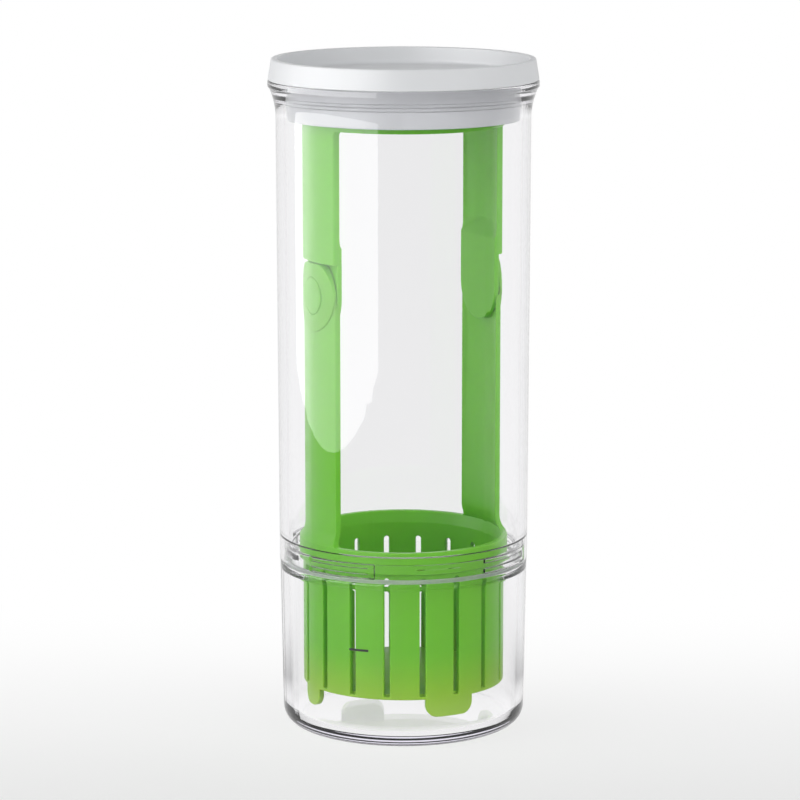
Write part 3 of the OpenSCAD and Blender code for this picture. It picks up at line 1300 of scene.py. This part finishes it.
@dataclass
class BasketSizes:
    """Sizes that the hoop and the slotted cup share, in millimetres."""

    pivot_z: float = 177.7
    hoop_r: float = 40.2
    hoop_in: float = 37.6
    arm_half: float = 14.4
    pivot_r: float = 7.4
    bore_r: float = 7.5
    eye_face: float = 36.3
    ear_out: float = 36.0
    ear_in: float = 33.9
    eye_top: float = 13.0
    arm_end: float = 13.4
    boss_face: float = 40.0
    edge: float = 0.4
    spare: float = 3.0
    fade: float = 20.0

    def on_arm(self, y: float, r: float) -> float:
        """Angle from an arm's middle, in radians, of a point that far to its side."""
        return math.asin(max(-1.0, min(1.0, y / r)))

    def sheared(self, angle: float, at_r: float, r: float) -> float:
        """Angle of a point at a new radius, so that an arm's sides stay flat.

        Args:
            angle: Angle from the arm's middle on the outer face, in radians.
            at_r: Radius of the outer face.
            r: Radius of the point.

        Returns:
            The point's angle, in radians.
        """
        edge = self.on_arm(self.arm_half, at_r)
        near = max(-edge, min(edge, angle))
        shift = self.on_arm(at_r * math.sin(near), r) - near
        beyond = max(0.0, abs(angle) - edge)
        return angle + shift * max(0.0, 1 - beyond / math.radians(self.fade))


@dataclass
class Hoop:
    """The basket's ring and upper arms, with an ear and a pivot boss at each arm's end."""

    basket: BasketSizes
    ring_top: float = 255.5
    ring_low: float = 243.9
    fillet: float = 2.0
    ear_rise: float = 19.9
    ear_slope: float = 7.0
    ear_past: float = 0.4
    end_round: float = 0.4
    boss_root: float = 0.5
    strips: int = 36
    end_cuts: tuple[float, ...] = (-0.02, 0.02, 0.12, 0.25, 0.42, 1.2)
    slope_cuts: tuple[float, ...] = (-4, -1, 0, 1, 3, 5, 6.5, 7, 8)
    beside: float = 0.1

    def build(self) -> Piece:
        """Builds the hoop.

        Returns:
            The hoop.
        """
        half = self._shell()
        shell = merged([half_turned(half), half], weld=WELD)
        boss = self._boss()
        whole = merged([shell, half_turned(boss), boss])
        hoop = add_piece(whole, "basket_hoop_shell", FINISHES.hoop)
        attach(hoop, Place.HOOP.value)
        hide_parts("basket_hoop")
        return hoop

    def _faces_at(self, z: float, y: float) -> Span:
        """Inner and outer face of an arm, where it is thick above its ear.

        Args:
            z: Height, in millimetres.
            y: Distance from the arm's middle, in millimetres.

        Returns:
            Distances of the two faces from the basket's middle plane, in millimetres.
        """
        b = self.basket
        outer = math.sqrt(max(0.0, b.hoop_r**2 - y**2))
        inner = math.sqrt(max(0.0, b.hoop_in**2 - y**2))
        above = z - b.pivot_z - b.arm_end
        if above < 0:
            return b.ear_in, b.ear_out
        outer -= self.end_round * max(0.0, 1 - above / self.end_round) ** 2
        slope = max(0.0, z - b.pivot_z - self.ear_rise) / self.ear_slope
        flat = b.ear_in + (b.hoop_in + self.ear_past - b.ear_in) * slope
        return min(inner, flat), outer

    def _shell(self) -> Mesh:
        """Half of the ring with one arm and its flat ear, centred on +X.

        Returns:
            The mesh, in millimetres, open at its two seams.
        """
        b = self.basket
        r, f = b.hoop_r, self.fillet
        side = r * b.on_arm(b.arm_half, r)
        seam = r * math.pi / 2
        arc = arc_points(0, b.pivot_z, b.arm_half, 180, 360, 60)
        foot = [(r * b.on_arm(y, r), z) for y, z in arc]
        corner = [
            *arc_points(side + f, self.ring_low - f, f, 180, 90, 8),
            (seam + b.spare, self.ring_low),
            (seam + b.spare, self.ring_top),
        ]
        mirrored = [(-x, z) for x, z in reversed(corner)]
        ends = [b.pivot_z + b.arm_end + d for d in self.end_cuts]
        slopes = [b.pivot_z + self.ear_rise + d for d in self.slope_cuts]
        plate = Sheet(
            [[*foot, *corner, *mirrored]],
            depth=b.hoop_r - b.hoop_in,
            edge=b.edge,
            cuts_x=[seam * i / self.strips for i in range(1 - self.strips, self.strips)],
            cuts_y=ends + slopes,
            keep_x=(-seam, seam),
        )

        def wrap(x: float, z: float, t: float) -> Spot:
            """Bends a point round the axis, and shapes the arm and its ear.

            Args:
                x: Its place along the flat ring.
                z: Its height.
                t: Its share of the thickness.

            Returns:
                Its place.
            """
            radius = b.hoop_in + (b.hoop_r - b.hoop_in) * t
            angle = b.sheared(x / r, r, radius)
            px, py = radius * math.cos(angle), radius * math.sin(angle)
            if z - b.pivot_z < self.ear_rise + self.ear_slope and abs(x) < side + self.beside:
                inner, outer = self._faces_at(z, py)
                px = inner + (outer - inner) * t
            return px, py, z

        return plate.mesh(wrap)

    def _boss(self) -> Mesh:
        """Makes the round, flat-faced boss that the eye turns on, on +X.

        Returns:
            The mesh, in millimetres.
        """
        b = self.basket
        low = b.ear_out - self.boss_root
        plate = Sheet([circle(b.pivot_z, b.pivot_r)], depth=b.boss_face - low, edge=b.edge)
        return plate.mesh(lambda y, z, t: (low + (b.boss_face - low) * t, y, z))


@dataclass
class SlottedCup:
    """The slotted basket: wall, rim and feet, its floor, and two lower arms with eyes."""

    basket: BasketSizes
    low_z: float = 18.4
    floor_t: float = 2.0
    foot_z: float = 11.0
    wall_r: float = 40.6
    wall_in: float = 38.2
    rim_z: float = 69.1
    rim_step: float = 0.8
    rim_top: float = 78.5
    rim_r: float = 42.0
    rim_in: float = 39.4
    rim_bevel: float = 4.7
    arm_r: float = 39.6
    arm_in: float = 37.4
    arm_cup_r: float = 9.6
    slots: int = 18
    slot_w: float = 2.4
    slot_start: float = 3.7
    slot_low: float = 19.6
    slot_high: float = 68.0
    slot_round: float = 0.5
    foot_w: float = 20.5
    side_foot_w: float = 11.5
    foot_corner: float = 5.0
    root_fillet: float = 3.0
    flare_h: float = 6.0
    flare_power: float = 2.2
    eye_edge: float = 0.45
    eye_round: float = 0.35
    eye_soft: float = 3.0
    eye_flat: float = 0.88
    strips: int = 144
    rim_cuts: tuple[float, ...] = (-0.3, 0, 0.2, 0.6, 0.8, 1.1)
    lip_cut: float = 0.6
    flare_cuts: int = 8
    eye_cuts: int = 10
    eye_pitch: float = 1.5
    eye_low: float = 14.7

    def build(self) -> Piece:
        """Builds the slotted cup.

        Returns:
            The cup.
        """
        eye = self._eye()
        whole = merged([self._shell(), self._floor(), half_turned(eye), eye])
        cup = add_piece(whole, "basket_cup_shell", FINISHES.basket)
        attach(cup, Place.BASKET.value)
        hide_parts("basket_cup")
        return cup

    def _flared(self, z: float, rim: float, arm: float) -> float:
        """Radius of a face above the rim, in millimetres, where it sweeps into the arm."""
        share = min(1.0, (z - self.rim_top) / self.flare_h)
        return arm + (rim - arm) * (1 - share) ** self.flare_power

    def _outer_at(self, z: float) -> float:
        """Radius of the outer face.

        Args:
            z: Height, in millimetres.

        Returns:
            The radius, in millimetres.
        """
        if z > self.rim_top:
            return self._flared(z, self.rim_r, self.arm_r)
        share = max(0.0, min(1.0, (z - self.rim_z) / self.rim_step))
        return self.wall_r + (self.rim_r - self.wall_r) * share

    def _inner_at(self, z: float) -> float:
        """Radius of the inner face.

        Args:
            z: Height, in millimetres.

        Returns:
            The radius, in millimetres.
        """
        if z > self.rim_top:
            return self._flared(z, self.rim_in, self.arm_in)
        share = max(0.0, 1 + (z - self.rim_top) / self.rim_bevel)
        return self.wall_in + (self.rim_in - self.wall_in) * share

    def _foot(self, centre: float, width: float) -> Outline:
        """Draws one foot on the lower edge.

        Args:
            centre: Angle of its middle, in degrees.
            width: Its width, in millimetres.

        Returns:
            Its flat points, left to right.
        """
        x = self.wall_r * math.radians(centre)
        half = self.wall_r * self.basket.on_arm(width / 2, self.wall_r)
        c = self.foot_corner
        return [
            (x - half, self.low_z),
            *arc_points(x - half + c, self.foot_z + c, c, 180, 270, 12),
            *arc_points(x + half - c, self.foot_z + c, c, 270, 360, 12),
            (x + half, self.low_z),
        ]

    def _arm(self, centre: float) -> Outline:
        """Draws one arm on the upper edge.

        Args:
            centre: Angle of its middle, in degrees.

        Returns:
            Its flat points, right to left.
        """
        b, r, f = self.basket, self.wall_r, self.root_fillet
        x = r * math.radians(centre)
        side = r * b.on_arm(b.arm_half, self.arm_r)
        cup = arc_points(0, b.pivot_z, self.arm_cup_r, 0, -180, 24)
        return [
            *arc_points(x + side + f, self.rim_top + f, f, 270, 180, 8),
            (x + side, b.pivot_z),
            *((x + r * b.on_arm(y, self.arm_r), z) for y, z in cup),
            (x - side, b.pivot_z),
            *arc_points(x - side - f, self.rim_top + f, f, 0, -90, 8),
        ]

    def _slot(self, x: float) -> Outline:
        """Draws one slot, round at the top.

        Args:
            x: Place of its middle on the flat wall, in millimetres.

        Returns:
            Its flat points.
        """
        half, c = self.slot_w / 2, self.slot_round
        return [
            *arc_points(x + half - c, self.slot_low + c, c, 270, 360, 4),
            *arc_points(x, self.slot_high - half, half, 0, 180, 12),
            *arc_points(x - half + c, self.slot_low + c, c, 180, 270, 4),
        ]

    def _heights(self) -> list[float]:
        """Heights where the flat wall is cut, so that it can bend there.

        Returns:
            The heights, in millimetres.
        """
        steps = self.flare_cuts
        low_arm = self.basket.pivot_z - self.eye_low
        return [
            *(self.rim_z + d for d in self.rim_cuts),
            self.rim_top - self.rim_bevel,
            self.rim_top - self.lip_cut,
            *(self.rim_top + self.flare_h * i / steps for i in range(steps + 1)),
            *(low_arm + i * self.eye_pitch for i in range(self.eye_cuts)),
        ]

    def _shell(self) -> Mesh:
        """Wall, rim, feet and arms in one sheet, welded at its seam.

        Returns:
            The mesh, in millimetres.
        """
        b, r = self.basket, self.wall_r
        pitch = 360 / self.slots
        start = self.slot_start - (self.slots - 1) / 2 * pitch
        left, right = r * math.radians(start), r * math.radians(start + 360)
        loop = [(left - b.spare, self.low_z)]
        for centre in (-90, 0, 90, 180):
            loop += self._foot(centre, self.foot_w if centre % 180 == 0 else self.side_foot_w)
        loop += [(right + b.spare, self.low_z), (right + b.spare, self.rim_top)]
        loop += self._arm(90) + self._arm(-90)
        loop.append((left - b.spare, self.rim_top))
        turns = (self.slot_start + (i + 1 - self.slots // 2) * pitch for i in range(self.slots))
        plate = Sheet(
            [loop, *(self._slot(r * math.radians(turn)) for turn in turns)],
            depth=self.wall_r - self.wall_in,
            edge=b.edge,
            cuts_x=[left + (right - left) * i / self.strips for i in range(1, self.strips)],
            cuts_y=self._heights(),
            keep_x=(left, right),
        )

        def wrap(x: float, z: float, t: float) -> Spot:
            """Bends a point round the axis, and keeps the arms clear of the ears.

            Args:
                x: Its place along the flat wall.
                z: Its height.
                t: Its share of the thickness.

            Returns:
                Its place.
            """
            outer, inner = self._outer_at(z), self._inner_at(z)
            radius = inner + (outer - inner) * t
            angle = x / r
            flip = 1 if math.sin(angle) > 0 else -1
            local = (angle - flip * math.pi / 2 + math.pi) % (2 * math.pi) - math.pi
            if z > self.rim_top - 2:
                local = b.sheared(local, self.arm_r, radius)
            px, py = radius * math.cos(local), radius * math.sin(local)
            if math.hypot(py, z - b.pivot_z) < b.arm_half + self.eye_round and z > self.rim_top:
                px = max(px, b.eye_face + SLIP)
            return flip * px, flip * py, z

        return merged([plate.mesh(wrap)], weld=WELD)

    def _floor(self) -> Mesh:
        """Turns the basket's floor.

        Returns:
            The mesh, in millimetres.
        """
        reach, top = self.wall_in + 0.5, self.low_z + self.floor_t
        outline = rounded(
            Corner(0, self.low_z),
            Corner(reach, self.low_z, 0.3),
            Corner(reach, top, 0.3),
            Corner(0, top),
            closed=False,
        )
        return Turning(rows(outline), closed=False).mesh()

    def _eye(self) -> Mesh:
        """Makes the round eye at an arm's end, flat on top and behind, on +X.

        Returns:
            The mesh, in millimetres.
        """
        b = self.basket
        reach = math.degrees(math.asin(b.eye_top / b.arm_half)) - self.eye_soft
        flat = self.eye_flat * math.sqrt(b.arm_half**2 - b.eye_top**2)
        rim = arc_points(0, b.pivot_z, b.arm_half, 180 - reach, 360 + reach, 150)
        top = b.pivot_z + b.eye_top
        plate = Sheet(
            [[*rim, (flat, top), (-flat, top)], circle(b.pivot_z, b.bore_r)],
            depth=b.hoop_r - b.eye_face,
            edge=self.eye_edge,
            cuts_x=[self.eye_pitch * i for i in range(1 - self.eye_cuts, self.eye_cuts)],
        )

        def wrap(y: float, z: float, t: float) -> Spot:
            """Trims a point of the eye to the arm's outer face."""
            face_x = math.sqrt(b.hoop_r**2 - y * y)
            return b.eye_face + (face_x - b.eye_face) * t, y, z

        return plate.mesh(wrap)


# ---------------------------------------------------------------- the studio


class LampUse(Enum):
    """What a lamp does: it lights matt surfaces, or shows in polished ones."""

    LIGHT = "light"
    SHEEN = "sheen"


def face(thing: bpy.types.Object, direction: Vector) -> None:
    """Turns a lamp or camera to look along a direction, upright."""
    thing.rotation_mode = "QUATERNION"
    thing.rotation_quaternion = direction.to_track_quat("-Z", "Y")


@dataclass(frozen=True)
class Lamp:
    """A soft rectangular lamp that faces the keeper, in metres, watts and degrees.

    Its azimuth counts from the camera's side towards the camera's right.
    """

    name: str
    azimuth: float
    elevation: float
    distance: float
    size: Span
    watts: float
    aim_z: float = 0.14
    use: LampUse = LampUse.LIGHT

    def hang(self, direction: Vector) -> None:
        """Hangs the lamp.

        Args:
            direction: Unit direction from the keeper to the lamp.
        """
        data = bpy.data.lights.new(self.name, "AREA")
        data.shape = "RECTANGLE"
        data.size, data.size_y = self.size
        data.energy = self.watts
        lamp = put(self.name, data)
        lamp.location = direction * self.distance + Vector((0, 0, self.aim_z))
        face(lamp, -direction)
        lamp.visible_camera = False
        lamp.visible_transmission = False
        lamp.visible_diffuse = self.use is LampUse.LIGHT
        lamp.visible_glossy = self.use is LampUse.SHEEN


@dataclass
class Studio:
    """Floor, surround, lamps and camera."""

    azimuth: float = -27.0
    distance: float = 1.443
    height: float = 0.3975
    pitch: float = 10.42
    focal_px: float = 3643.0
    frame_px: float = 800.0
    axis_px: float = 403.5
    sensor_mm: float = 36.0
    clip: Span = (0.05, 60.0)
    ambient: Span = (0.5, 0.22)
    ambient_colour: Colour = (0.97, 0.98, 1.0)
    mirrored: Span = (0.3, 1.0)
    mirrored_rise: Span = (0.25, 0.7)
    floor_reach: float = 9.0
    floor_squares: int = 24
    floor_z: float = -0.3 * MM
    floor: StudioFloor = StudioFloor("studio_floor")
    lamps: tuple[Lamp, ...] = (
        Lamp("key_softbox", -62, 20, 1.0, (1.0, 1.0), 6.4),
        Lamp("fill_softbox", 48, 24, 1.1, (1.0, 1.0), 6.0),
        Lamp("sheen_panel", -67, 0, 0.62, (1.24, 0.9), 14.5, 0.45, LampUse.SHEEN),
    )

    def build(self) -> None:
        """Builds the whole studio."""
        self._camera()
        self._world()
        self._floor()
        for lamp in self.lamps:
            lamp.hang(self._direction(lamp.azimuth, lamp.elevation))

    def _direction(self, azimuth: float, elevation: float = 0.0) -> Vector:
        """Direction from the keeper, at an angle from the camera's side.

        Args:
            azimuth: Degrees from the camera towards its right.
            elevation: Degrees above the horizon.

        Returns:
            The unit direction.
        """
        a, e = math.radians(self.azimuth + azimuth), math.radians(elevation)
        return Vector((math.sin(a) * math.cos(e), -math.cos(a) * math.cos(e), math.sin(e)))

    def _camera(self) -> None:
        """Puts the camera where the photograph was taken from."""
        data = bpy.data.cameras.new("camera")
        data.sensor_width = self.sensor_mm
        data.lens = self.focal_px / self.frame_px * data.sensor_width
        data.shift_x = -(self.axis_px - self.frame_px / 2) / self.frame_px
        data.clip_start, data.clip_end = self.clip
        camera = put("camera", data)
        camera.location = self._direction(0) * self.distance + Vector((0, 0, self.height))
        face(camera, -self._direction(0, self.pitch))
        bpy.context.scene.camera = camera

    def _world(self) -> None:
        """Makes an even, pale surround that shows white behind the keeper."""
        world = bpy.data.worlds.new("studio")
        bpy.context.scene.world = world
        world.use_nodes = True
        g = Graph(world.node_tree)
        place = g.node("ShaderNodeTexCoord").outputs["Generated"]
        height = g.node("ShaderNodeSeparateXYZ", {"Vector": place}).outputs["Z"]
        soft = g.light("ShaderNodeBackground", height, self.ambient, self.ambient_colour)
        side = g.backdrop_share(place, *self.mirrored_rise)
        mirrored = g.light("ShaderNodeBackground", side, self.mirrored)
        white = g.node("ShaderNodeBackground", {"Color": (1, 1, 1, 1)}).outputs["Background"]
        shader = g.mixed(g.ray_share(Ray.MIRRORED), soft, mirrored)
        shader = g.mixed(g.ray_share(Ray.SEEN, Ray.THROUGH), shader, white)
        g.node("ShaderNodeOutputWorld", {"Surface": shader})

    def _floor(self) -> None:
        """Lays the pale floor just under the keeper's foot."""
        bm = bmesh.new()
        count = self.floor_squares
        bmesh.ops.create_grid(bm, x_segments=count, y_segments=count, size=self.floor_reach)
        bmesh.ops.translate(bm, verts=bm.verts, vec=(0, 0, self.floor_z))
        floor = mesh_object(bm, "floor")
        floor.data.materials.append(self.floor.build())
        floor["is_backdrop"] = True


# ---------------------------------------------------------------- assembly


def corners(box: tuple[Vector, Vector]) -> list[list[float]]:
    """A box's two corners as plain lists of numbers."""
    return [[float(c) for c in corner] for corner in box]


def main() -> None:
    """Builds the keeper and its studio."""
    logging.basicConfig(level=logging.INFO, format="%(message)s")
    cad_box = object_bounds()
    bpy.context.scene.view_settings.view_transform = "Standard"
    lock, basket = LockSizes(), BasketSizes()
    pieces = [
        *WaterCup(lock).build(),
        ClearTube(lock).build(),
        *Lid().build(),
        Hoop(basket).build(),
        SlottedCup(basket).build(),
    ]
    for piece in pieces:
        log.info("%s: %d faces", piece.name, len(piece.data.polygons))
    Studio().build()
    {"cad": corners(cad_box), "visual": corners(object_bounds())}


if __name__ == "__main__":
    main()
